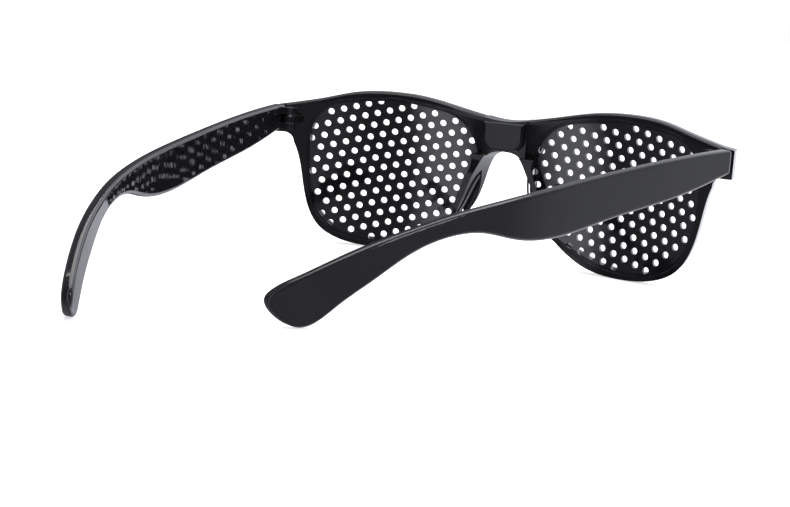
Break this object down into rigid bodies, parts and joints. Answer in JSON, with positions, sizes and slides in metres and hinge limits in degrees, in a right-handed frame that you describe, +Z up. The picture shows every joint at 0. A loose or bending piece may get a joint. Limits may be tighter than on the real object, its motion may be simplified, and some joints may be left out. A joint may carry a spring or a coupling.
{
  "type": "pinhole glasses",
  "caption": "Full-rim glasses whose round openings hold opaque curved plates pierced by a triangular grid of round pinholes; two bowed folding temples, one partly folded in",
  "frame": {"origin": "middle of the resting box in width and depth, on the table under the glasses", "axes": "+X is the wearer's left, +Y runs from the front back along the temples, +Z is up as the glasses stand on the rims and temple tips"},
  "size_m": [0.1448, 0.1605, 0.0493],
  "materials": {
    "frame_plastic": "polished black moulding",
    "plate_plastic": "smooth black sheet",
    "temple_plastic": "polished black moulding",
    "screw_steel": "turned"
  },
  "bodies": {
    "front": {"front_frame": "frame_plastic", "pinhole_plate_left": "plate_plastic", "pinhole_plate_right": "plate_plastic"},
    "temple_left": {"temple_left": "temple_plastic", "hinge_screw_left": "screw_steel"},
    "temple_right": {"temple_right": "temple_plastic", "hinge_screw_right": "screw_steel"}
  },
  "joints": [
    {"name": "left_hinge", "type": "hinge", "parent": "front", "child": "temple_left", "pos_m": [0.06424, -0.05632, 0.041], "axis": [0, 0, 1], "range_deg": [0, 20]},
    {"name": "right_hinge", "type": "hinge", "parent": "front", "child": "temple_right", "pos_m": [-0.06596, -0.05632, 0.041], "axis": [0, 0, -1], "range_deg": [-30.6, 53]}
  ]
}
